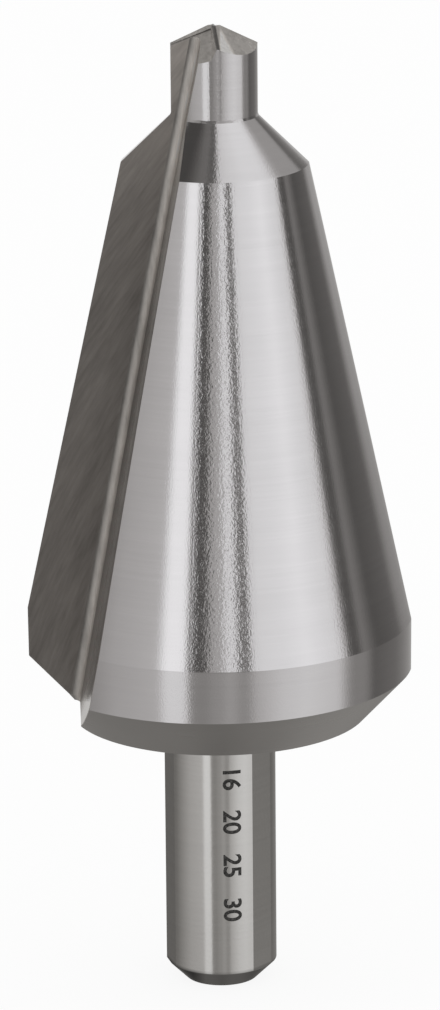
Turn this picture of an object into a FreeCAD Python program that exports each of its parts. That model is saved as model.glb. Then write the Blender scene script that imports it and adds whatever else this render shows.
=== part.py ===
"""Cone bit for drilling and widening holes in sheet metal and tube.

One solid, ground from one bar of tool steel: a round shank with three chuck
flats, a long cone with two straight flutes, and a pilot with a split point.
Millimetres. The origin is the centre of the shank's end face, +Z runs along
the axis to the tip. The bit cuts when it turns anticlockwise seen from the
tip, so the cutting edge on the -X side moves towards -Y.
"""
import FreeCAD, Part
import math
import os

V = FreeCAD.Vector
UP = V(0, 0, 1)
AXIS = V(0, 0, 0)

# Shank
SHANK_DIA = 8.8
SHANK_LENGTH = 22.4          # end face to the back face of the head
SHANK_END_CHAMFER = 1.5      # at 45 degrees
SHANK_ROOT_RADIUS = 0.8      # turned corner between shank and head
FLAT_COUNT = 3
FLAT_WIDTH = 2.2             # chord of each chuck flat: three leave 3/4 of the round
FLAT_BEARING = 49.5          # degrees from the front (-Y) towards +X, first flat

# Head, measured over the cutting edges
BAND_DIA = 30.5              # largest hole the bit makes
BAND_LENGTH = 4.05
BACK_FACE_DIA = 23.5
BACK_CHAMFER_LENGTH = 3.8
CONE_TOP_DIA = 14.55
CONE_LENGTH = 36.5
SHOULDER_LENGTH = 3.8
PILOT_DIA = 6.7
PILOT_LENGTH = 5.6           # straight part, up to the corners of the lips
LAND_RELIEF = 0.2            # fall of each land between cutting edge and heel

# Flutes: a square notch, ground along a very slightly bowed path
FLUTE_REF_HEIGHT = 48.0      # height at which the next two places are given
FLUTE_ROOT_DEPTH = 6.5       # root to the bit's centre plane
FLUTE_ROOT_BEHIND = 1.2      # root behind the plane of the two cutting edges
FLUTE_TAPER_ANGLE = 10.5     # path against the axis, following the cone
FLUTE_LEAD_ANGLE = 2.7       # path against the axis, trailing the cut
FLUTE_BOW_RADIUS = 2400.0
FLUTE_HOOK_ANGLE = 1.3       # rake of the cutting face
FLUTE_ROOT_RADIUS = 0.8
FLUTE_HALF_TRAVEL = 42.0     # cutter's travel either side of the middle height

# Split point
POINT_ANGLE = 130.0
CHISEL_HONING = 0.22         # height honed off the chisel edge
FLANK_CLEARANCE_ANGLE = 22.3
GASH_FROM_CENTRE = 0.22      # bottom of the gash beside the axis
GASH_START_DEPTH = 0.25      # bottom of the gash under the tip
GASH_BEHIND = 0.05           # its cutting face behind the axis, just ahead of the flute's
GASH_FALL_ANGLE = 30.0       # bottom line, outwards and down
GASH_WALL_ANGLE = 63.0       # steep side, against the horizontal
GASH_FLOOR_ANGLE = 22.0      # shallow side, falling to the flute

# Levels and radii that follow
SHANK_R = SHANK_DIA / 2
Z_BACK = SHANK_LENGTH
Z_BAND = Z_BACK + BACK_CHAMFER_LENGTH
Z_CONE = Z_BAND + BAND_LENGTH
Z_SHOULDER = Z_CONE + CONE_LENGTH
Z_PILOT = Z_SHOULDER + SHOULDER_LENGTH
Z_LIP_CORNER = Z_PILOT + PILOT_LENGTH
LIP_SLOPE = 1 / math.tan(math.radians(POINT_ANGLE / 2))
Z_CHISEL = Z_LIP_CORNER + LIP_SLOPE * PILOT_DIA / 2    # before honing
Z_TIP = Z_CHISEL - CHISEL_HONING
BEYOND = 10.0                # clear of the work on every side
FLUTE_REACH = BAND_DIA       # the flute cutter stands well out of the work


def half_turn(shape):
    """A copy turned half a turn about the axis: the bit has two of everything."""
    copy = shape.copy()
    copy.rotate(AXIS, UP, 180)
    return copy


def prism(points, along):
    """The closed outline through the points, pushed along a vector."""
    return Part.Face(Part.makePolygon(points + points[:1])).extrude(along)


def shank():
    """Turned shank with its end chamfer and the round corner under the head."""
    corner = SHANK_ROOT_RADIUS
    mid = corner * (1 - math.sqrt(0.5))
    arc = Part.Arc(V(SHANK_R, 0, Z_BACK - corner),
                   V(SHANK_R + mid, 0, Z_BACK - mid),
                   V(SHANK_R + corner, 0, Z_BACK)).toShape()
    below = Part.makePolygon([V(0, 0, 0), V(SHANK_R - SHANK_END_CHAMFER, 0, 0),
                              V(SHANK_R, 0, SHANK_END_CHAMFER), V(SHANK_R, 0, Z_BACK - corner)])
    inside = Z_BACK + corner
    above = Part.makePolygon([V(SHANK_R + corner, 0, Z_BACK), V(SHANK_R + corner, 0, inside),
                              V(0, 0, inside), V(0, 0, 0)])
    outline = Part.Wire(below.Edges + [arc] + above.Edges)
    return Part.Face(outline).revolve(AXIS, UP, 360)


def chuck_flat(bearing):
    """What is milled off for one flat, facing the bearing, right up to the head."""
    off_axis = math.sqrt(SHANK_R ** 2 - (FLAT_WIDTH / 2) ** 2)
    block = Part.makeBox(SHANK_DIA, BEYOND, BEYOND + Z_BACK,
                         V(-SHANK_R, -off_axis - BEYOND, -BEYOND))
    block.rotate(AXIS, UP, bearing)
    return block


def land():
    """The front half of the head: the land that trails the +X cutting edge.

    It is turned a little off centre, towards its own cutting edge, so that it
    meets the full diameter there and falls away to the relief at its heel.
    """
    off_centre = LAND_RELIEF / 2
    steps = [(BAND_DIA, Z_BACK), (BAND_DIA, Z_CONE), (CONE_TOP_DIA, Z_SHOULDER),
             (PILOT_DIA, Z_PILOT), (PILOT_DIA, Z_TIP + BEYOND)]
    outline = [V(dia / 2 - off_centre, 0, z) for dia, z in steps]
    outline = [V(0, 0, Z_BACK)] + outline + [V(0, 0, Z_TIP + BEYOND)]
    turned = Part.Face(Part.makePolygon(outline + outline[:1])).revolve(AXIS, UP, 360)
    turned.translate(V(off_centre, 0, 0))
    front = Part.makeBox(2 * BAND_DIA, BAND_DIA, Z_TIP + 2 * BEYOND, V(-BAND_DIA, -BAND_DIA, 0))
    return turned.common(front)


def back_chamfer():
    """All that the turned back chamfer leaves standing: a cone opening upwards.

    It is on centre, so it meets the relieved lands a little lower at their heels.
    """
    height = Z_TIP + BEYOND - Z_BACK
    widening = (BAND_DIA - BACK_FACE_DIA) / 2 / BACK_CHAMFER_LENGTH
    back_r = BACK_FACE_DIA / 2
    return Part.makeCone(back_r, back_r + widening * height, height, V(0, 0, Z_BACK), UP)


def flute_cutter():
    """Everything ground away in front of the -X cutting edge.

    The section is square: one side leaves the cutting face, the other the
    heel's wall, with a small radius between them.
    """
    hook = math.radians(FLUTE_HOOK_ANGLE)
    out = V(-math.cos(hook), -math.sin(hook), 0)
    forward = V(math.sin(hook), -math.cos(hook), 0)
    r = FLUTE_ROOT_RADIUS
    centre = (out + forward) * r
    arc = Part.Arc(forward * r, centre - (out + forward) * (r / math.sqrt(2)), out * r).toShape()
    sides = Part.makePolygon([out * r, out * FLUTE_REACH, (out + forward) * FLUTE_REACH,
                              forward * FLUTE_REACH, forward * r])
    section = Part.Face(Part.Wire([arc] + sides.Edges))
    pivot = V(FLUTE_BOW_RADIUS, 0, 0)
    sweep = math.degrees(FLUTE_HALF_TRAVEL / FLUTE_BOW_RADIUS)
    section.rotate(pivot, V(0, 1, 0), -sweep)
    cutter = section.revolve(pivot, V(0, 1, 0), 2 * sweep)
    cutter.rotate(AXIS, V(0, 1, 0), FLUTE_TAPER_ANGLE)
    cutter.rotate(AXIS, V(1, 0, 0), FLUTE_LEAD_ANGLE)
    cutter.translate(V(-FLUTE_ROOT_DEPTH, FLUTE_ROOT_BEHIND, FLUTE_REF_HEIGHT))
    return cutter


def flank_cutter():
    """All that lies above the flank behind the +X lip."""
    size = 4 * PILOT_DIA
    clearance = math.tan(math.radians(FLANK_CLEARANCE_ANGLE))
    corners = []
    for x, y in ((-size, -size), (size, -size), (size, size), (-size, size)):
        corners.append(V(x, y, Z_CHISEL - LIP_SLOPE * x + clearance * y))
    return prism(corners, V(0, 0, 3 * size))


def honing():
    """What is honed off the sharp chisel edge."""
    return Part.makeCylinder(PILOT_DIA, BEYOND * 2, V(0, 0, Z_TIP), UP)


def gash_cutter():
    """The notch that thins the web: it carries the -X lip in to the centre."""
    wall = math.radians(GASH_WALL_ANGLE)
    floor = math.radians(GASH_FLOOR_ANGLE)
    fall = math.radians(GASH_FALL_ANGLE)
    bottom = V(-GASH_FROM_CENTRE, GASH_BEHIND, Z_TIP - GASH_START_DEPTH)
    reach = PILOT_DIA
    up_wall = V(math.cos(wall), 0, math.sin(wall)) * reach
    down_floor = V(-math.cos(floor), 0, -math.sin(floor)) * reach
    over = V(down_floor.x, 0, up_wall.z)
    outline = [bottom, bottom + up_wall, bottom + over, bottom + down_floor]
    return prism(outline, V(0, -math.cos(fall), -math.sin(fall)) * reach)


def cone_bit():
    """The finished bit."""
    front = land()
    head = front.fuse(half_turn(front)).common(back_chamfer())
    blank = head.fuse(shank())
    cutters = [honing()]
    for cutter in (flute_cutter(), flank_cutter(), gash_cutter()):
        cutters += [cutter, half_turn(cutter)]
    for n in range(FLAT_COUNT):
        cutters.append(chuck_flat(FLAT_BEARING + n * 360 / FLAT_COUNT))
    bit = blank.cut(cutters).removeSplitter()
    solids = bit.Solids
    assert len(solids) == 1 and bit.isValid(), "the bit is not one sound solid"
    return solids[0]


os.makedirs("parts", exist_ok=True)
bit = cone_bit()
bit.exportStep("parts/cone_bit.step")
box = bit.BoundBox
print("cone_bit: %d faces, %.0f mm3, %.2f x %.2f x %.2f mm, z %.2f to %.2f" % (
    len(bit.Faces), bit.Volume, box.XLength, box.YLength, box.ZLength, box.ZMin, box.ZMax))
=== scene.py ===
# %% [markdown]
# # A cone bit for sheet metal and tube
# One bar of tool steel, turned and then ground: a round shank with three
# chuck flats, a long slim cone with two straight flutes, and a pilot with a
# split point. The CAD model holds its sizes. This lesson makes the surface
# that the eye sees: smooth ground curves, crisp edges and the grinding marks.
# The first cell brings in the CAD model and keeps its box, because nothing
# made here may stand outside it.

# %% The CAD frame and its box
import math
import bmesh
import bpy
import numpy as np
from mathutils import Matrix, Vector
from mathutils.geometry import tessellate_polygon


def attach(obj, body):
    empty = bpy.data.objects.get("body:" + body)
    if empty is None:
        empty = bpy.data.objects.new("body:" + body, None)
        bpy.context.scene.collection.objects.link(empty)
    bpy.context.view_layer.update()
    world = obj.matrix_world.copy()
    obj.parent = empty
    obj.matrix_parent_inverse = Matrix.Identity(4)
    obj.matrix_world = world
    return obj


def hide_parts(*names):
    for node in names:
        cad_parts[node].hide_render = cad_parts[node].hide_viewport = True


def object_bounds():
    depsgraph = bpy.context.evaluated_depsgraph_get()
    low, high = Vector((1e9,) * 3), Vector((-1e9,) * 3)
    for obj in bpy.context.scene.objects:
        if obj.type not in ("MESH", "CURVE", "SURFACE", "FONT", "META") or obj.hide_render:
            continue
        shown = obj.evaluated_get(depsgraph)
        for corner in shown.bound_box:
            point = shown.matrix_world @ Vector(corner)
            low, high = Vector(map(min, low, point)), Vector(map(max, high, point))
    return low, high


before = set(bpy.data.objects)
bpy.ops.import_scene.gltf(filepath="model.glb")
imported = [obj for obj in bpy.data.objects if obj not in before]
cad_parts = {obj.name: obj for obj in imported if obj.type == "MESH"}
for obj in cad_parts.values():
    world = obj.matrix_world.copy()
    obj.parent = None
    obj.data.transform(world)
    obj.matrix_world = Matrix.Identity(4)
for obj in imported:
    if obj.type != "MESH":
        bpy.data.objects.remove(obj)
cad_box = [list(corner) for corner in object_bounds()]
MM = 0.001
print("CAD box in mm:", [[round(c / MM, 2) for c in corner] for corner in cad_box])

# %% [markdown]
# ## The camera first
# The photograph was taken from a little above, with a long lens. A camera
# set down at that angle from the start means that every later step can be
# judged against the picture. A long lens has a small angle of view, so its
# focal length is worked out from how many pixels one radian covers.

# %% Camera at the photograph's angle
CAMERA_BACK, CAMERA_UP = 0.4469, 0.1710                 # metres
LOOK_DOWN, ROLL, TURN = 0.28692, -0.00856, 0.00038      # radians
PIXELS_PER_RADIAN = 5939.0
FRAME_W, FRAME_H = 440, 1010


def make_camera():
    """Looks along +Y, turned, tipped down and rolled by three small angles, in that order."""
    data = bpy.data.cameras.new("camera")
    data.sensor_width = 36.0
    data.lens = PIXELS_PER_RADIAN * data.sensor_width / FRAME_H
    data.clip_start, data.clip_end = 0.01, 20.0
    camera = bpy.data.objects.new("camera", data)
    bpy.context.collection.objects.link(camera)
    ahead = Vector((math.sin(TURN) * math.cos(LOOK_DOWN), math.cos(TURN) * math.cos(LOOK_DOWN),
                    -math.sin(LOOK_DOWN)))
    right = ahead.cross(Vector((0, 0, 1))).normalized()
    up = right.cross(ahead)
    right, up = (right * math.cos(ROLL) + up * math.sin(ROLL),
                 up * math.cos(ROLL) - right * math.sin(ROLL))
    camera.matrix_world = Matrix.Translation((0, -CAMERA_BACK, CAMERA_UP)) @ Matrix(
        (right, up, -ahead)).transposed().to_4x4()
    return camera


bpy.context.scene.camera = make_camera()
bpy.context.scene.view_settings.view_transform = "Standard"
print("lens %.0f mm on a frame of %d x %d" % (
    bpy.context.scene.camera.data.lens, FRAME_W, FRAME_H))

# %% [markdown]
# ## Sizes of the ground surfaces
# These are the same named sizes as in the CAD model, in millimetres. A
# person turns a bit like this on a lathe first: the levels and radii below
# are the corners of that turned outline, from the back face up to the tip.

# %% Sizes in millimetres
SHANK_R, SHANK_END_CHAMFER, SHANK_ROOT_RADIUS = 4.4, 1.5, 0.8
FLAT_WIDTH, FLAT_BEARING, FLAT_COUNT = 2.2, 49.5, 3
BAND_R, BACK_R, CONE_TOP_R, PILOT_R = 15.25, 11.75, 7.275, 3.35
Z_BACK, Z_BAND, Z_CONE, Z_SHOULDER, Z_PILOT = 22.4, 26.2, 30.25, 66.75, 70.55
Z_LIP_CORNER = 76.15
OFF_CENTRE = 0.1                # of each land's circle: half of the relief at its heel
CORNER_LOW, CORNER_HIGH = Z_PILOT - 0.06, Z_PILOT + 0.14        # the inside corner there
FLAT_OFF_AXIS = math.sqrt(SHANK_R ** 2 - (FLAT_WIDTH / 2) ** 2)
print("head %.1f mm across, shank %.1f mm, flats %.2f mm from the axis" % (
    2 * BAND_R, 2 * SHANK_R, FLAT_OFF_AXIS))

# %% Sizes of the flutes and the point
ROOT_DEPTH, ROOT_BEHIND, REF_HEIGHT, ROOT_RADIUS = 6.5, 1.2, 48.0, 0.8
TAPER, LEAD, HOOK = math.radians(10.5), math.radians(2.7), math.radians(1.3)
BOW = 2400.0                            # radius of the wheel's path
ROOT_ARC = ROOT_RADIUS * math.pi / 2    # length round the root
POINT_ANGLE, CLEARANCE_ANGLE, CHISEL_HONING = 130.0, 22.3, 0.22
LIP_SLOPE = 1 / math.tan(math.radians(POINT_ANGLE / 2))
CLEARANCE_SLOPE = math.tan(math.radians(CLEARANCE_ANGLE))
Z_CHISEL = Z_LIP_CORNER + LIP_SLOPE * PILOT_R
Z_TIP = Z_CHISEL - CHISEL_HONING
print("tip at %.2f mm" % Z_TIP)

# %% [markdown]
# ## The flute as a function
# A flute is a square notch, ground by a wheel whose path is very slightly
# bowed. The wheel's path lies on a huge circle, so a point of the notch
# keeps its distance from that circle's centre. Its height gives the sine of
# its angle on the circle and the cosine gives its place across. With that,
# the notch can be asked for at any height, for a whole array at once.

# %% Where the notch is at a height
def notch(outwards, forwards, z):
    """(x, y) at height z of the notch's point that lies so far outwards along the cutting
    face and so far forwards along the heel's wall from the notch's sharp corner."""
    x0 = forwards * math.sin(HOOK) - outwards * math.cos(HOOK)
    y0 = -outwards * math.sin(HOOK) - forwards * math.cos(HOOK)
    climb = (z - REF_HEIGHT - y0 * math.sin(LEAD)) / math.cos(LEAD)
    reach = BOW - x0
    sine = (climb + BOW * math.sin(TAPER)) / reach
    x = BOW * math.cos(TAPER) - reach * np.sqrt(1 - sine ** 2) - ROOT_DEPTH
    y = y0 * math.cos(LEAD) - climb * math.sin(LEAD) + ROOT_BEHIND
    return x, y


levels = np.array([24.0, 48.0, 74.0])
for level in levels:
    print("corner of the notch at z %.0f: x %.2f, y %.2f" % ((level,) + notch(0.0, 0.0, level)))

# %% [markdown]
# ## The turned outline, relieved behind the cutting edges
# Only the cutting edge may touch the work, so each land is ground a little
# off centre: full size at its edge, 0.2 mm lower at its heel. The chamfer
# at the back is turned on centre. A point is outside the metal when it is
# outside either of the two circles. How wide the cutting face and the wall
# are at a height is then found by halving: start between the notch's corner
# and a place far outside, and keep the half that the surface lies in.

# %% Distance outside the turned surfaces
FAR_OUT, HALVINGS = 30.0, 40


def edge_radius(z):
    """Radius over the cutting edges: straight runs between the corners of the outline, and a
    narrow one in the inside corner under the pilot, where the wheel's edge isn't quite sharp."""
    beside = PILOT_R + (Z_PILOT - CORNER_LOW) * (CONE_TOP_R - PILOT_R) / (Z_PILOT - Z_SHOULDER)
    return np.interp(z, [Z_BACK, Z_CONE, Z_SHOULDER, CORNER_LOW, CORNER_HIGH],
                     [BAND_R, BAND_R, CONE_TOP_R, beside, PILOT_R])


def chamfer_radius(z):
    """Radius of the back chamfer, a cone that opens upwards."""
    return BACK_R + (BAND_R - BACK_R) * (z - Z_BACK) / (Z_BAND - Z_BACK)


def outside(x, y, z, side):
    """How far (x, y, z) is outside the land whose centre is moved OFF_CENTRE to that side."""
    land = np.hypot(x - side * OFF_CENTRE, y) - (edge_radius(z) - OFF_CENTRE)
    return np.maximum(land, np.hypot(x, y) - chamfer_radius(z))


def halve(is_outside, z):
    """The largest value that isn't outside yet, for every height of an array at once."""
    low, high = np.zeros_like(z), np.full_like(z, FAR_OUT)
    for _ in range(HALVINGS):
        middle = (low + high) / 2
        out = is_outside(middle)
        low, high = np.where(out, low, middle), np.where(out, middle, high)
    return (low + high) / 2


def round_root(t):
    """(outwards, forwards) of the point at the distance t along the notch: round the root from
    the wall's end of its arc, then straight out along the cutting face."""
    turn = np.pi / 2 - np.minimum(t, ROOT_ARC) / ROOT_RADIUS
    return (ROOT_RADIUS * (1 - np.sin(turn)) + np.maximum(t - ROOT_ARC, 0),
            ROOT_RADIUS * (1 - np.cos(turn)))


def rake_reach(z):
    """Distance along the notch at height z from the wall's end of the root to the cutting edge."""
    return halve(lambda t: outside(*notch(*round_root(t), z), z, -1) > 0, z)


def wall_width(z):
    """Width of the wall at height z: from the notch's corner to the heel."""
    return halve(lambda w: outside(*notch(0 * w, w, z), z, 1) > 0, z)


print("cutting face", rake_reach(levels).round(2), "wall", wall_width(levels).round(2))

# %% [markdown]
# ## The point, as a height over the plane
# Everything at the tip is a flat facet: two flanks, the small flat honed on
# the chisel edge, and a notch on each side that thins the middle. The
# lowest of those planes is the surface, so one formula gives the height of
# the tip over any place, and its creases come by themselves.

# %% Height of the tip
GASH_START, GASH_FROM_CENTRE = 0.25, 0.22
GASH_FALL, GASH_WALL, GASH_FLOOR = (math.tan(math.radians(a)) for a in (30.0, 63.0, 22.0))


def tip_height(x, y, side):
    """The lowest of the planes over (x, y). side is +1 in front, where the -X gash is, and
    -1 at the back, where the other one is, half a turn round."""
    flank = np.minimum(Z_CHISEL - LIP_SLOPE * x + CLEARANCE_SLOPE * y,
                       Z_CHISEL + LIP_SLOPE * x - CLEARANCE_SLOPE * y)
    gx, gy = side * x + GASH_FROM_CENTRE, side * y
    gash = Z_TIP - GASH_START + GASH_FALL * gy + np.where(gx > 0, GASH_WALL, GASH_FLOOR) * gx
    return np.minimum(np.minimum(flank, gash), Z_TIP)


print("height at a lip's corner %.2f mm" % tip_height(np.array(-PILOT_R), np.array(0.01), -1))

# %% [markdown]
# ## Once round the head
# Half of the outline is enough: along one land from its heel to its cutting
# edge, in along the cutting face, round the root and out along the wall.
# The other half is the same, half a turn round. Each column of the grid
# keeps its place on that outline while the height changes: a kind of face,
# and a share from 0 to 1 of the way along it. Two columns of the land stand
# close together, one on either side of the crease where the gash's steep
# cutting face meets the pilot.

# %% Columns of the half outline
LAND, RAKE, ROOT, WALL = range(4)
SPLIT_LOW, SPLIT_HIGH = 0.9669, 0.9712          # places of the two close columns
LAND_COLUMNS, EDGE_COLUMNS, RAKE_COLUMNS, ROOT_COLUMNS, WALL_COLUMNS = 102, 8, 16, 12, 18


def shares(count):
    """So many even shares up to 1; the 0 is the last column of the face before."""
    return np.linspace(0, 1, count + 1)[1:]


half_kind = np.repeat([LAND, RAKE, ROOT, WALL], [
    LAND_COLUMNS + EDGE_COLUMNS, RAKE_COLUMNS, ROOT_COLUMNS, WALL_COLUMNS])
half_place = np.concatenate([
    np.linspace(0, SPLIT_LOW, LAND_COLUMNS), np.linspace(SPLIT_HIGH, 1, EDGE_COLUMNS),
    shares(RAKE_COLUMNS), shares(ROOT_COLUMNS), shares(WALL_COLUMNS)])
# The wall's last column is the first one of the other half's land.
half_kind, half_place = half_kind[:-1], half_place[:-1]
# The side whose facets a column ends at: the back's for most of the land, else the front's.
half_side = np.where((half_kind == LAND) & (half_place <= SPLIT_LOW), -1, 1)


def land_radius(angle, z):
    """Distance from the axis to the back land's off-centre circle, at an angle and a height."""
    circle = edge_radius(z) - OFF_CENTRE
    return np.sqrt(circle ** 2 - (OFF_CENTRE * np.sin(angle)) ** 2) - OFF_CENTRE * np.cos(angle)


def half_outline(kind, place, z):
    """(x, y) of the back land, the -X cutting face, the root and the wall, at heights z."""
    reach, wall = rake_reach(z), wall_width(z)
    heel_x, heel_y = notch(0 * wall, wall, z)
    edge_x, edge_y = notch(*round_root(reach), z)
    start = np.arctan2(-heel_y, -heel_x)
    end = np.mod(np.arctan2(edge_y, edge_x), 2 * np.pi)
    angle = start + place * (end - start)
    radius = np.minimum(land_radius(angle, z), chamfer_radius(z))
    arc = np.minimum(ROOT_ARC, reach)
    outwards, forwards = round_root(np.where(
        kind == RAKE, reach + place * (arc - reach), arc * (1 - place)))
    on_wall = kind == WALL
    notch_x, notch_y = notch(np.where(on_wall, 0.0, outwards), np.where(
        on_wall, ROOT_RADIUS + place * (wall - ROOT_RADIUS), forwards), z)
    on_land = kind == LAND
    return (np.where(on_land, radius * np.cos(angle), notch_x),
            np.where(on_land, radius * np.sin(angle), notch_y))


top_x, top_y = half_outline(half_kind, half_place, np.full(len(half_kind), Z_LIP_CORNER))
bearings = np.degrees(np.mod(np.arctan2(top_y, top_x), 2 * np.pi))
print("%d columns; the two beside the gash's face stand at %.2f and %.2f degrees" % (
    len(half_kind), bearings[LAND_COLUMNS - 1], bearings[LAND_COLUMNS]))

# %% [markdown]
# ## From the back face to the tip
# The corners of the turned outline are rows of the grid, so that they stay
# crisp. Two of them aren't level: the chamfer meets the relieved land a
# little lower at the heel, and the top row follows the point's facets. Both
# are found by putting the height back into the formula a few times, until
# it stops changing. The facets of the point are then rows that shrink to
# the centre.

# %% Rows of the head
def chamfer_corner(kind, place):
    """Height at which the chamfer meets the land, column by column."""
    z = np.full(len(kind), Z_BAND)
    x, y = half_outline(kind, place, z)
    for _ in range(8):
        radius = land_radius(np.arctan2(y, x), z)
        z = Z_BACK + (radius - BACK_R) * (Z_BAND - Z_BACK) / (BAND_R - BACK_R)
    last, first = z[kind == LAND][-1], z[kind == LAND][0]
    across = np.cumsum(kind != LAND) / np.sum(kind != LAND)
    return np.where(kind == LAND, z, last + across * (first - last))


def point_corner(kind, place, side):
    """Height at which each column meets the facets of the point."""
    z = np.full(len(kind), Z_LIP_CORNER)
    for _ in range(30):
        z = tip_height(*half_outline(kind, place, z), side)
    return z


level_row = np.ones(len(half_kind))
corner_rows = np.array([Z_BACK * level_row, chamfer_corner(half_kind, half_place),
                        Z_CONE * level_row, Z_SHOULDER * level_row,
                        CORNER_LOW * level_row, CORNER_HIGH * level_row,
                        point_corner(half_kind, half_place, half_side)])
ROW_COUNTS = [8, 8, 72, 16, 1, 22]      # chamfer, band, cone, shoulder, its corner, pilot
heights = np.concatenate([low + (high - low) * np.linspace(0, 1, n, endpoint=False)[:, None]
                          for low, high, n in zip(corner_rows, corner_rows[1:], ROW_COUNTS)]
                         + [corner_rows[-1:]])
print("rows", heights.shape, "top of the columns %.2f to %.2f mm" % (
    heights[-1].min(), heights[-1].max()))

# %% The head and its point as one grid
TIP_ROWS = 90
kinds = np.broadcast_to(half_kind, heights.shape)
places = np.broadcast_to(half_place, heights.shape)
side_x, side_y = half_outline(kinds, places, heights)
shrink = np.linspace(1, 0, TIP_ROWS + 1)[1:, None]
cap_x, cap_y = side_x[-1] * shrink, side_y[-1] * shrink
half_x, half_y = np.vstack([side_x, cap_x]), np.vstack([side_y, cap_y])
half_z = np.vstack([heights, tip_height(cap_x, cap_y, half_side)])
head = np.stack([np.hstack([half_x, -half_x]), np.hstack([half_y, -half_y]),
                 np.hstack([half_z, half_z])], axis=-1)
print("head grid", head.shape, "widest radius %.2f mm" % np.hypot(head[..., 0], head[..., 1]).max())

# %% [markdown]
# ## The shank
# The shank is turned, with a chamfer at its end and a small round corner
# under the head. Three flats are milled on it for the chuck's jaws. A flat
# is where the radius would be larger than the flat allows, so the surface
# is the smaller of the two. The columns follow the flats' edges, which run
# apart in the round corner, so that they stay sharp.

# %% The shank as a grid
FLAT_COLUMNS, ARC_COLUMNS, STRAIGHT_ROWS = 8, 40, 24
LEAST_HALF_FLAT = math.radians(0.6)     # keeps the flats' columns apart where there is no flat


def shank_profile(rows):
    """(radius, z) rows: end face, chamfer, straight shank, quarter-round corner."""
    end = [(r, 0.0) for r in np.linspace(0, SHANK_R - SHANK_END_CHAMFER, 8)]
    bevel = [(SHANK_R - SHANK_END_CHAMFER + d, d)
             for d in np.linspace(0, SHANK_END_CHAMFER, 10)[1:]]
    straight = [(SHANK_R, z) for z in
                np.linspace(SHANK_END_CHAMFER, Z_BACK - SHANK_ROOT_RADIUS, rows)[1:]]
    turn = np.linspace(0, np.pi / 2, 13)[1:]
    corner = [(SHANK_R + SHANK_ROOT_RADIUS * (1 - np.cos(a)),
               Z_BACK - SHANK_ROOT_RADIUS * (1 - np.sin(a))) for a in turn]
    return np.array(end + bevel + straight + corner)


def shank_grid():
    """Three flats and three arcs in turn; a flat's half angle is the one whose cosine is
    the flat's distance from the axis over the radius."""
    radius, z = (a[:, None] for a in shank_profile(STRAIGHT_ROWS).T)
    half_flat = np.maximum(np.arccos(FLAT_OFF_AXIS / np.maximum(radius, FLAT_OFF_AXIS)),
                           LEAST_HALF_FLAT)
    sector = 2 * np.pi / FLAT_COUNT
    on_flat = np.linspace(-1, 1, FLAT_COLUMNS, endpoint=False)
    on_arc = np.linspace(0, 1, ARC_COLUMNS, endpoint=False)
    one = np.hstack([half_flat * on_flat, half_flat + on_arc * (sector - 2 * half_flat)])
    turn = np.hstack([one + n * sector for n in range(FLAT_COUNT)])
    to_flat = np.abs(np.mod(turn + sector / 2, sector) - sector / 2)
    radius = np.minimum(radius, FLAT_OFF_AXIS / np.cos(to_flat))
    bearing = turn + math.radians(FLAT_BEARING - 90)
    return np.stack([radius * np.cos(bearing), radius * np.sin(bearing), z + 0 * turn], axis=-1)


shank = shank_grid()
print("shank grid", shank.shape)

# %% [markdown]
# ## Grids into one closed mesh
# A grid becomes quads by joining each point to its right and upper
# neighbours. The flat back face lies between two loops with different
# numbers of points, and it is filled with triangles, which don't show on a
# flat face. Points that fall together, at the centres and along the seams,
# are merged, so that the skin is closed.

# %% Quads of a grid that closes on itself
def ring_quads(rows, columns, first):
    """Corner numbers of the quads between neighbouring rows; the last column meets the first."""
    row, column = np.meshgrid(np.arange(rows - 1), np.arange(columns), indexing="ij")
    after = (column + 1) % columns
    corners = np.stack([row * columns + column, row * columns + after,
                        (row + 1) * columns + after, (row + 1) * columns + column], axis=-1)
    return (corners + first).reshape(-1, 4)


def back_face(outer, inner, first_outer, first_inner):
    """Triangles between the head's lowest loop and the shank's highest one, facing down."""
    loops = [[Vector((p[0], p[1], 0)) for p in loop] for loop in (outer, inner[::-1])]
    numbers = np.concatenate([first_outer + np.arange(len(outer)),
                              first_inner + np.arange(len(inner))[::-1]])
    points = np.vstack([outer, inner[::-1]])[:, :2]
    triangles = np.array(tessellate_polygon(loops))
    a, b, c = (points[triangles[:, n]] for n in range(3))
    area = (b[:, 0] - a[:, 0]) * (c[:, 1] - a[:, 1]) - (b[:, 1] - a[:, 1]) * (c[:, 0] - a[:, 0])
    triangles[area > 0] = triangles[area > 0][:, ::-1]
    return numbers[triangles[area != 0]]


head_rows, head_columns = head.shape[:2]
shank_rows, shank_columns = shank.shape[:2]
shank_first = head_rows * head_columns
head_quads = ring_quads(head_rows, head_columns, 0)
shank_quads = ring_quads(shank_rows, shank_columns, shank_first)
back_triangles = back_face(head[0], shank[-1], 0, shank_first + (shank_rows - 1) * shank_columns)
print(len(head_quads), "quads on the head,", len(shank_quads), "on the shank,",
      len(back_triangles), "triangles on the back face")

# %% [markdown]
# ## Which face is ground how
# The kind of each column says which finish a face has. The round root and
# the wall also carry painted light and shade that changes from one side of
# the flute to the other, so each point carries a number that says where it
# lies across the flute. It is an attribute of the mesh, and the materials
# read it by its name.

# %% Which finish each face has
LANDS, RAKES, ROOTS, WALLS, POINT, SHANK, BACK = range(7)
column_kind = np.tile(half_kind, 2)
quad_row, quad_column = np.divmod(np.arange(len(head_quads)), head_columns)
next_kind = column_kind[(quad_column + 1) % head_columns]
both_on_land = (column_kind[quad_column] == LAND) & (next_kind == LAND)
head_finish = np.select([both_on_land, next_kind == RAKE, next_kind == ROOT],
                        [LANDS, RAKES, ROOTS], WALLS)
head_finish[both_on_land & (quad_row < ROW_COUNTS[0])] = BACK
head_finish[quad_row >= len(heights) - 1] = POINT
finishes = np.concatenate([head_finish, np.full(len(shank_quads), SHANK),
                           np.full(len(back_triangles), BACK)])
print("faces of each finish", np.bincount(finishes))

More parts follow.
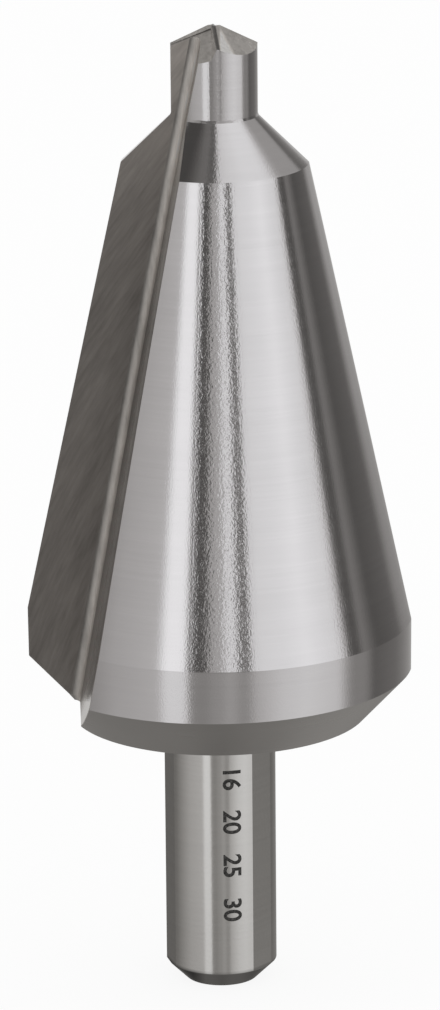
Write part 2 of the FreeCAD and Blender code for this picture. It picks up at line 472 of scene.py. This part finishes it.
# %% Where each point lies across the flute
half_across = np.select([half_kind == RAKE, half_kind == ROOT, half_kind == WALL],
                        [half_place - 1, half_place, 1 + half_place], -1.0)
across = np.zeros(shank_first + shank_rows * shank_columns)
across[:shank_first] = np.tile(half_across, 2 * head_rows)
print("across the flute: %.0f at the cutting edge, %.0f at the heel" % (across.min(), across.max()))

# %% One closed mesh
CRISP = math.radians(9.0)       # creases sharper than this stay sharp in the shading
TOGETHER = 2e-7                 # in metres: points as near as this are one point


def closed_mesh(name, points, faces, finish, across):
    """The faces as a mesh in metres, with points that fall together merged."""
    mesh = bpy.data.meshes.new(name)
    mesh.from_pydata((points * MM).tolist(), [], [f.tolist() for group in faces for f in group])
    mesh.attributes.new("across", "FLOAT", "POINT").data.foreach_set("value", across)
    mesh.polygons.foreach_set("material_index", finish.astype(np.int32))
    mesh.polygons.foreach_set("use_smooth", np.ones(len(mesh.polygons), dtype=bool))
    skin = bmesh.new()
    skin.from_mesh(mesh)
    bmesh.ops.remove_doubles(skin, verts=skin.verts, dist=TOGETHER)
    open_edges = sum(not e.is_manifold for e in skin.edges)
    volume = skin.calc_volume(signed=True)
    skin.to_mesh(mesh)
    skin.free()
    mesh.set_sharp_from_angle(angle=CRISP)
    print("%s: %d faces, %d open edges, volume %.0f mm3" % (
        name, len(mesh.polygons), open_edges, volume / MM ** 3))
    return mesh


every_point = np.vstack([head.reshape(-1, 3), shank.reshape(-1, 3)])
every_point = np.clip(every_point, np.array(cad_box[0]) / MM, np.array(cad_box[1]) / MM)
bit_mesh = closed_mesh("ground_bit", every_point, [head_quads, shank_quads, back_triangles],
                       finishes, across)
bit = bpy.data.objects.new("ground_bit", bit_mesh)
bpy.context.collection.objects.link(bit)
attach(bit, "root")
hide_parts("cone_bit")

# %% [markdown]
# ## Writing shader maths
# A shader is easier to read as a formula than as a web of nodes. This small
# class wraps the output of a node. Adding, subtracting, multiplying or
# dividing two of them makes the Math node for it. One more method makes any
# other node from its type, its settings and its inputs, and two short
# functions blend between tones.

# %% A socket that can be calculated with
class Val:
    """A node's output inside one material."""

    def __init__(self, tree, socket):
        self.tree, self.socket = tree, socket

    def node(self, kind, settings=None, out=0, **inputs):
        """Any node of this tree: settings first, then values or links for its sockets, which
        are named, or numbered as i0, i1 and so on."""
        made = self.tree.nodes.new(kind)
        for key, value in (settings or {}).items():
            if key == "stops":
                ramp = made.color_ramp
                while len(ramp.elements) < len(value):
                    ramp.elements.new(0.5)
                for element, (place, colour) in zip(ramp.elements, value):
                    element.position, element.color = place, (*colour, 1.0)
            else:
                setattr(made, key, value)
        for key, value in inputs.items():
            numbered = key[0] == "i" and key[1:].isdigit()
            socket = made.inputs[int(key[1:]) if numbered else key.replace("_", " ")]
            if isinstance(value, Val):
                self.tree.links.new(value.socket, socket)
            else:
                socket.default_value = value
        return Val(self.tree, made.outputs[out])

    def maths(self, operation, *others, clamp=False):
        """A Math node on this value and the others."""
        inputs = {"i%d" % n: value for n, value in enumerate((self,) + others)}
        return self.node("ShaderNodeMath", {"operation": operation, "use_clamp": clamp}, **inputs)

    def __add__(self, other):
        return self.maths("ADD", other)

    def __mul__(self, other):
        return self.maths("MULTIPLY", other)

    def __sub__(self, other):
        return self.maths("SUBTRACT", other)

    def __rsub__(self, other):
        return self.node("ShaderNodeMath", {"operation": "SUBTRACT"}, i0=other, i1=self)

    def __truediv__(self, other):
        return self.maths("DIVIDE", other)

    __radd__, __rmul__ = __add__, __mul__

    def between(self, low, high):
        """0 below low, 1 above high, and an even slope between them."""
        return ((self - low) / (high - low)).maths("ADD", 0.0, clamp=True)


def blend(factor, first, second):
    """Goes from the first tone to the second as the factor goes from 0 to 1."""
    return first + factor * (second - first)


def soft_step(value, low, high):
    """Goes from 0 at low to 1 at high without corners."""
    return value.node("ShaderNodeMapRange", {"interpolation_type": "SMOOTHSTEP"}, Value=value,
                      From_Min=low, From_Max=high)


print("shader values ready")

# %% [markdown]
# ## Ground steel
# A grinding wheel leaves thousands of fine marks that all run the way it
# moved: round the axis on the lands and the shank, along the flute in the
# notch. Noise that is squeezed in one direction draws them. A second, even
# noise is the slight waviness that every ground face has: it breaks up the
# reflection of narrow things in the room and leaves wide ones smooth. Both
# tilt the surface (bump); the marks also change its gloss and its tone.

# %% The shared steel
CLOUDS = (0.22, 0.22, 0.22)     # grains per mm of the slow change of tone
SCUFFS, SCUFF_HEIGHT = (4.8, 4.8, 4.0), 0.012


def new_material(name):
    """A material, its Principled shader, and a wrapped place on the piece to build on."""
    material = bpy.data.materials.new(name)
    material.use_nodes = True
    tree = material.node_tree
    shader = next(n for n in tree.nodes if n.type == "BSDF_PRINCIPLED")
    coords = tree.nodes.new("ShaderNodeTexCoord")
    return material, shader, Val(tree, coords.outputs["Object"])


def parts_of(place):
    """x, y and z of a wrapped vector, in millimetres."""
    split = place.node("ShaderNodeSeparateXYZ", Vector=place).socket.node
    return [Val(place.tree, split.outputs[n]) / MM for n in range(3)]


def noise(place, detail=2.0, rough=0.5):
    """Noise with one grain per unit of place."""
    return place.node("ShaderNodeTexNoise", Vector=place, Scale=1.0, Detail=detail, Roughness=rough)


def grains(place, per_mm):
    """The place, stretched so that one unit is a grain: so many of them per mm along x, y and z."""
    return place.node("ShaderNodeVectorMath", {"operation": "MULTIPLY"}, i0=place,
                      i1=tuple(n / MM for n in per_mm))


def steel(name, colour, roughness, marks, depth, wave_height, tint, waves=(4.5, 4.5, 3.5),
          toned=None, dulled=None, scuffed=None, rim=1.0):
    """Bare steel. marks is the place in which a grinding mark is one unit wide, or grains per
    mm; depth and wave_height are the marks' and the waviness's heights in mm; tint is how much
    the marks change the tone. toned makes one more tone from the place, dulled adds to the
    roughness, and scuffed says where there are scuffs. rim is how much of its light the steel
    keeps where it is seen edge-on: less on a coarser face."""
    material, shader, place = new_material(name)
    along = grains(place, marks) if isinstance(marks, tuple) else marks(place)
    fine, broad = noise(along, 3.0, 0.6), noise(grains(along, (0.3 * MM,) * 3), 2.0)
    wavy, cloudy = noise(grains(place, waves), 1.5), noise(grains(place, CLOUDS))
    tone = 1.0 + (fine - 0.5) * tint + (broad - 0.5) * tint + (cloudy - 0.5) * 0.08
    if toned:
        tone = tone * toned(place)
    tinted = place.node("ShaderNodeVectorMath", {"operation": "SCALE"}, i0=colour, Scale=tone)
    gloss = roughness + (broad - 0.5) * 0.05 + (fine - 0.5) * 0.05
    if dulled:
        gloss = gloss + dulled(place)
    relief = fine * depth + broad * (depth * 1.5) + wavy * wave_height
    if scuffed:
        relief = relief + noise(grains(place, SCUFFS), 2.5) * scuffed(place) * SCUFF_HEIGHT
    bump = place.node("ShaderNodeBump", Strength=1.0, Distance=MM, Height=relief)
    for value, socket in ((tinted, "Base Color"), (gloss, "Roughness"), (bump, "Normal")):
        place.tree.links.new(value.socket, shader.inputs[socket])
    shader.inputs["Metallic"].default_value = 1.0
    shader.inputs["Specular Tint"].default_value = (rim, rim, rim, 1.0)
    return material


print("steel() makes a finish from a colour, a roughness and its marks")

# %% [markdown]
# ## The finish of each face
# The cone is finished with a fine wheel and is the brightest, with bands of
# small scuffs where it lay on others. The notch is ground in one deep pass,
# so its faces are rougher, and painted shade darkens them in the flute's
# hollow; the wheel's flat side scours its cutting face in long leaning arcs.
# The round root, where the wheel's corner ran, carries a painted highlight.
# The shank and the back are only turned and ground once, and the chamfer at
# the shank's end is painted darker, with painted shade on its left. Each
# function below says how one of these changes over the bit, in millimetres.

# %% Where the marks and tones lie
def leaning_arcs(place):
    """Unit marks along arcs on the cutting faces: across them is 0.9 of the distance from the
    axis, plus 0.45 of the height, plus a little of the height squared that bends them."""
    x, _, z = parts_of(place)
    lean = x.maths("ABSOLUTE") * 0.9 + z * 0.45 + (z - 40.0) * (z - 40.0) * 0.004
    return place.node("ShaderNodeCombineXYZ", X=lean * 3.2, Y=z * 0.4, Z=0.0)


def towards_tip(place):
    """The cutting face gets lighter over the pilot."""
    z = parts_of(place)[2]
    return 1.0 + z.between(58.0, 70.0) * 0.35 + z.between(70.0, 75.0) * 0.5


def scuffed_bands(place):
    """Scuffs on the front and the back of the cone, fewer above it, and a narrow band of them
    further round. x over -y is the tangent of the bearing, on both sides of the bit."""
    x, y, z = parts_of(place)
    bearing = x / (y * -1.0)
    front = bearing.between(-0.15, -0.11) * (1.0 - bearing.between(0.15, 0.2))
    aside = bearing.between(0.68, 0.74) * (1.0 - bearing.between(0.86, 0.92)) * 0.45
    on_cone = z.between(Z_CONE - 0.05, Z_CONE + 0.05)
    above = z.between(Z_SHOULDER - 0.05, Z_SHOULDER + 0.05)
    return (front + aside) * (on_cone - above * 0.5)


def across_flute(place):
    """-1 at the cutting edge, 0 to 1 round the root, 2 at the heel."""
    return place.node("ShaderNodeAttribute", {"attribute_name": "across"}, out=2)


def root_painted_highlight(place):
    """Painted highlight on the root: lightest past its middle, and a little lighter high up."""
    u = across_flute(place)
    root_highlight = 0.45 + u.between(0.1, 0.6) - u.between(0.75, 1.0) * 0.5
    return root_highlight * (1.0 + parts_of(place)[2].between(54.0, 67.0) * 0.25)


def wall_painted_shade(place):
    """Painted shade and light on the wall: painted darker by the root, and lighter towards the heel
    and towards both ends.
    """
    z = parts_of(place)[2]
    ends = z.between(45.0, 27.0) * 0.6 + z.between(54.0, 66.0) * 0.6
    return 1.0 + across_flute(place).between(1.0, 2.0) * 0.9 + ends


def dull_by_root(place):
    """The wall is rougher towards the root, where the wheel's chips ran, except high up."""
    near_root = 1.0 - across_flute(place).between(1.0, 1.7)
    return near_root * (1.0 - parts_of(place)[2].between(54.0, 66.0) * 0.7) * 0.35 - 0.1


def point_painted_shade_and_highlight(place):
    """Painted shade in a dark line on each gash's steep side, and a painted highlight in a brighter
    patch on the flank beside it.
    side is the distance from the gash's plane, and out the distance along it."""
    x, y, _ = parts_of(place)
    side = x * y.maths("SIGN") * -1.0
    out = y.maths("ABSOLUTE")
    line = side - out * 0.12
    steep = line.between(-0.22, -0.12) * (1.0 - line.between(0.05, 0.15))
    patch = side.between(0.4, 0.56) * (1.0 - (side - out * 0.42).between(0.05, 0.5))
    return 1.0 + out.between(0.3, 0.6) * patch - steep * 0.75


def dark_end_painted_shade(place):
    """The turned chamfer at the shank's end is painted darker, and painted shade makes it darkest
    on the left.
    """
    x, _, z = parts_of(place)
    # The chamfer is painted darker here, and darkest on the left as painted shade.
    skin = 0.10 + x.between(-2.3, -1.3) * 0.45 - x.between(1.5, 2.4) * 0.18
    return blend(z.between(1.35, 1.75), skin, 1.0)


print("marks and tones ready")

# %% Seven finishes
# The second colour is steel painted darker: painted shade for the faces in the hollow of the flute.
PALE, FLUTE_PAINTED_SHADE = (0.652, 0.640, 0.652), (0.300, 0.282, 0.268)
land_steel = steel("land_steel", PALE, 0.11, (0.12, 0.12, 8.0), 0.0002, 0.004, 0.06,
                   waves=(9.0, 9.0, 7.0), scuffed=scuffed_bands, rim=0.85)
rake_steel = steel("rake_steel", FLUTE_PAINTED_SHADE, 0.33, leaning_arcs, 0.0010, 0.006, 0.58, toned=towards_tip)
root_steel = steel("root_steel", (0.60, 0.575, 0.55), 0.44, (3.0, 3.0, 0.6), 0.0016, 0.014, 0.75,
                   toned=root_painted_highlight)
wall_steel = steel("wall_steel", FLUTE_PAINTED_SHADE, 0.22, (4.0, 4.0, 0.4), 0.0006, 0.004, 0.2,
                   toned=wall_painted_shade, dulled=dull_by_root, rim=0.7)
point_steel = steel("point_steel", (0.60, 0.58, 0.56), 0.26, (3.0, 0.8, 3.0), 0.0008, 0.012, 0.5,
                    waves=(2.5, 2.5, 2.5), toned=point_painted_shade_and_highlight)
shank_steel = steel("shank_steel", (0.655, 0.648, 0.638), 0.13, (0.15, 0.15, 7.0), 0.0003,
                    0.0016, 0.08, toned=dark_end_painted_shade, rim=0.6)
back_steel = steel("back_steel", (0.53, 0.52, 0.51), 0.26, (0.15, 0.15, 6.0), 0.0004, 0.002, 0.08)
for material in (land_steel, rake_steel, root_steel, wall_steel, point_steel, shank_steel,
                 back_steel):
    bit.data.materials.append(material)
print("finishes:", [m.name for m in bit.data.materials])

# %% [markdown]
# ## Plain numbers on the shank
# Sizes are marked on a shank with a laser, which darkens the steel and
# leaves no groove to feel. So the figures are a skin of their own, a few
# thousandths of a millimetre proud: made flat as text, sliced into narrow
# strips so that they can bend, and then wrapped round the shank.

# %% Figures wrapped round the shank
FIGURES, FIGURE_HEIGHT, FIGURES_START, FIGURES_BEARING = "16   20   25   30", 1.38, 18.95, 3.2
CAPITAL_SHARE = 0.69            # height of a figure in this typeface, over the text's size
BOLDER = 0.03                   # outline moved out by this share of the height
PROUD, STRIP = 0.008, 0.2       # height over the steel, width of the strips


def wrapped_figures(body, height, start, bearing):
    """Text read downwards. Along the line is down the shank; up the letters is round it: the
    angle is the height of the letter over the radius."""
    text = bpy.data.curves.new("figures", "FONT")
    text.body, text.size, text.offset = body, height / CAPITAL_SHARE, BOLDER * height
    lettering = bpy.data.objects.new("figures", text)
    bpy.context.collection.objects.link(lettering)
    flat = bpy.data.meshes.new_from_object(
        lettering.evaluated_get(bpy.context.evaluated_depsgraph_get()))
    bpy.data.objects.remove(lettering)
    skin = bmesh.new()
    skin.from_mesh(flat)
    for level in np.arange(-STRIP, height + STRIP, STRIP):
        bmesh.ops.bisect_plane(skin, geom=skin.verts[:] + skin.edges[:] + skin.faces[:],
                               plane_co=(0, level, 0), plane_no=(0, 1, 0))
    bmesh.ops.triangulate(skin, faces=skin.faces[:])
    skin.to_mesh(flat)
    skin.free()
    place = np.empty(len(flat.vertices) * 3)
    flat.vertices.foreach_get("co", place)
    along, up = place.reshape(-1, 3)[:, 0], place.reshape(-1, 3)[:, 1]
    radius, turn = SHANK_R + PROUD, math.radians(bearing) + up / SHANK_R
    wrapped = np.stack([radius * np.sin(turn), -radius * np.cos(turn), start - along], axis=-1)
    flat.vertices.foreach_set("co", (wrapped * MM).ravel())
    flat.update()
    print("figures run from z %.1f to %.1f mm" % (start, start - along.max()))
    return flat


figures = bpy.data.objects.new("shank_figures", wrapped_figures(
    FIGURES, FIGURE_HEIGHT, FIGURES_START, FIGURES_BEARING))
bpy.context.collection.objects.link(figures)
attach(figures, "root")


def burnt_steel():
    """Laser mark: almost black, matt, with a little of the steel showing through."""
    material, shader, place = new_material("burnt_steel")
    tone = 0.02 + noise(grains(place, (8.0, 8.0, 8.0))).between(0.45, 0.75) * 0.08
    tinted = place.node("ShaderNodeVectorMath", {"operation": "SCALE"},
                        i0=(1.0, 0.96, 0.92), Scale=tone)
    place.tree.links.new(tinted.socket, shader.inputs["Base Color"])
    shader.inputs["Metallic"].default_value = 0.3
    shader.inputs["Roughness"].default_value = 0.55
    return material


figures.data.materials.clear()
figures.data.materials.append(burnt_steel())

# %% [markdown]
# ## A plain studio
# Bare metal has hardly a colour of its own: it shows the room. A soft white
# room with a few darker gaps between its panels gives a ground bar the
# light and dark bands that the eye reads as round and polished. The room is
# the world, so it stands still when the camera goes round. Each entry below
# is a bearing in degrees, counted from the camera to the right, and how
# light the wall is there at eye level, and lower down, where the walls show
# the table too. Above the walls come a grey cornice and a ceiling that is
# light on the right only, and below them the ground.

# %% The walls of the room
PANELS = [(-178, 0.85, 0.75), (-156, 0.95, 0.70), (-148, 0.15, 0.21), (-136, 0.15, 0.21),
          (-130, 1.00, 0.21), (-106, 0.15, 0.21), (-92, 0.30, 0.31), (-66, 0.51, 0.50),
          (-38, 0.62, 0.59), (-33, 1.17, 0.92), (-21, 1.17, 0.92), (-18, 0.11, 0.32),
          (-9, 0.08, 0.30), (-5, 0.60, 0.36), (1, 0.40, 0.38), (4, 1.00, 0.45),
          (9, 1.00, 0.43), (12, 0.15, 0.35), (17, 0.14, 0.37), (20, 0.92, 0.54),
          (38, 1.00, 0.78), (52, 1.10, 0.84), (75, 0.88, 0.74), (83, 0.11, 0.36),
          (88, 0.10, 0.28), (93, 0.26, 0.30), (98, 0.19, 0.275), (105, 0.11, 0.14),
          (130, 0.16, 0.20), (144, 0.48, 0.30), (158, 0.56, 0.42), (178, 0.85, 0.75)]


def wall_tones(x, y):
    """Tones of the panels in a direction, at eye level and at table level."""
    bearing = x.maths("ARCTAN2", -1.0 * y) / (2 * math.pi) + 0.5
    return [bearing.node("ShaderNodeValToRGB", {
        "stops": [(0.5 + panel[0] / 360, (panel[level],) * 3) for panel in PANELS]}, Fac=bearing)
        for level in (1, 2)]


def upper_tones(x, y):
    """Tones of the cornice and the ceiling, and how far the direction is behind on the right.
    On the camera's side both are dark on the left, with a lighter strip in the dark, and
    further back they are grey there. On the right the ceiling is light, and the cornice is
    grey, but darker behind the bit."""
    dark = soft_step(x, -0.40, -0.16) * 0.13 - soft_step(x, -0.14, -0.08) * 0.08 + 0.075
    dark_side = blend(soft_step(y, 0.2, 0.3), dark, 0.42)
    to_right = soft_step(x, -0.03, 0.05)
    behind = soft_step(y, 0.65, 0.73) * soft_step(x, 0.05, 0.2)
    cornice = blend(to_right, dark_side,
                    blend(behind, 0.42, soft_step(y, 0.72, 0.95) * 0.15 + 0.17))
    ceiling = blend(to_right, dark_side, soft_step(x, 0.05, 0.4) * 0.14 + 0.83)
    return cornice, ceiling, behind


def room_tone(x, y, z):
    """Tone of the room in the direction (x, y, z): bands one above the other, softly joined.
    The ground reaches a little higher right behind the bit, and the cornice hangs lower
    behind it on the right."""
    eye_level, table_level = wall_tones(x, y)
    cornice, ceiling, behind = upper_tones(x, y)
    ground = 0.23 + x.maths("ABSOLUTE").between(0.0, 0.12) * 0.04 + soft_step(x, 0.18, 0.36) * 0.1
    ahead = soft_step(y, 0.88, 0.93)
    tone = blend(soft_step(z, -0.22, -0.08), table_level, eye_level)
    tone = blend(soft_step(z - ahead * 0.06, -0.33, -0.45), tone, ground)
    tone = blend(soft_step(z + behind * 0.16, 0.26, 0.38), tone, cornice)
    return blend(soft_step(z, 0.69, 0.85), tone, ceiling)


def make_room():
    """White to the camera and to dull surfaces, and the room's tones to polished ones, a
    little warmer where they are dark."""
    world = bpy.data.worlds.new("room")
    bpy.context.scene.world = world
    world.use_nodes = True
    tree = world.node_tree
    background = next(n for n in tree.nodes if n.type == "BACKGROUND")
    way = Val(tree, tree.nodes.new("ShaderNodeTexCoord").outputs["Generated"])
    split = way.node("ShaderNodeSeparateXYZ", Vector=way)
    tone = room_tone(*(Val(tree, split.socket.node.outputs[n]) for n in range(3)))
    polished = Val(tree, tree.nodes.new("ShaderNodeLightPath").outputs["Is Glossy Ray"])
    light = blend(polished, 1.0, tone)
    warm = polished * (1.0 - tone.maths("MINIMUM", 1.0))
    tinted = light.node("ShaderNodeCombineColor", Red=light, Green=light * (1.0 - warm * 0.045),
                        Blue=light * (1.0 - warm * 0.10))
    tree.links.new(tinted.socket, background.inputs["Color"])
    background.inputs["Strength"].default_value = 1.0


make_room()
print("room with", len(PANELS), "panel edges")

# %% [markdown]
# ## The floor
# The picture has a plain white ground. The floor is a pale sheet that is
# almost white to the camera and keeps a faint shadow where the shank stands
# on it. Polished metal looks past it at the room, which has its own tone
# low down.

# %% A pale floor
HALF_FLOOR, SHADOWLESS = 2.0, 0.9       # half side in metres, share that is white by itself


def make_floor(half):
    """One square, centred under the bit."""
    mesh = bpy.data.meshes.new("floor")
    mesh.from_pydata([(-half, -half, 0), (half, -half, 0), (half, half, 0), (-half, half, 0)], [],
                     [(0, 1, 2, 3)])
    floor = bpy.data.objects.new("floor", mesh)
    bpy.context.collection.objects.link(floor)
    material, shader, place = new_material("pale_floor")
    shader.inputs["Base Color"].default_value = (0.88, 0.88, 0.88, 1.0)
    shader.inputs["Roughness"].default_value = 0.9
    output = next(n for n in place.tree.nodes if n.type == "OUTPUT_MATERIAL")
    seen = Val(place.tree, place.tree.nodes.new("ShaderNodeLightPath").outputs["Is Camera Ray"])
    white = place.node("ShaderNodeEmission", Color=(1.0, 1.0, 1.0, 1.0), Strength=1.0)
    lit = Val(place.tree, shader.outputs[0])
    mixed = place.node("ShaderNodeMixShader", i0=seen * SHADOWLESS, i1=lit, i2=white)
    place.tree.links.new(mixed.socket, output.inputs["Surface"])
    floor.data.materials.append(material)
    floor.visible_glossy = False
    print("floor", half * 2, "m square")


make_floor(HALF_FLOOR)
